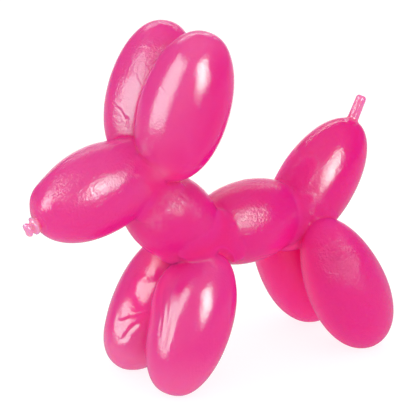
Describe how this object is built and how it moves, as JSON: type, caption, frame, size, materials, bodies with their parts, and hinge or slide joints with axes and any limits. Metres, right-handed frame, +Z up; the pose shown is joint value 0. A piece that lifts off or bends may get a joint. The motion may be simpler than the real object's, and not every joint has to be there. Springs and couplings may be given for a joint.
{
  "type": "balloon dog toy",
  "caption": "Small stretchy rubber toy dog moulded in one piece in the shape of a twisted balloon, with a knot at the nose and a stub on the tail.",
  "frame": {"origin": "on the ground under the middle of the dog's outline, between its four feet", "axes": "+Z up, the dog faces -Y, its left side is +X"},
  "size_m": [0.0254, 0.0596, 0.0527],
  "materials": {
    "pink_rubber": "glossy, slightly see-through soft rubber with fine wrinkles, paler where it is thin"
  },
  "bodies": {
    "root": {"balloon_dog": "pink_rubber"}
  },
  "joints": []
}
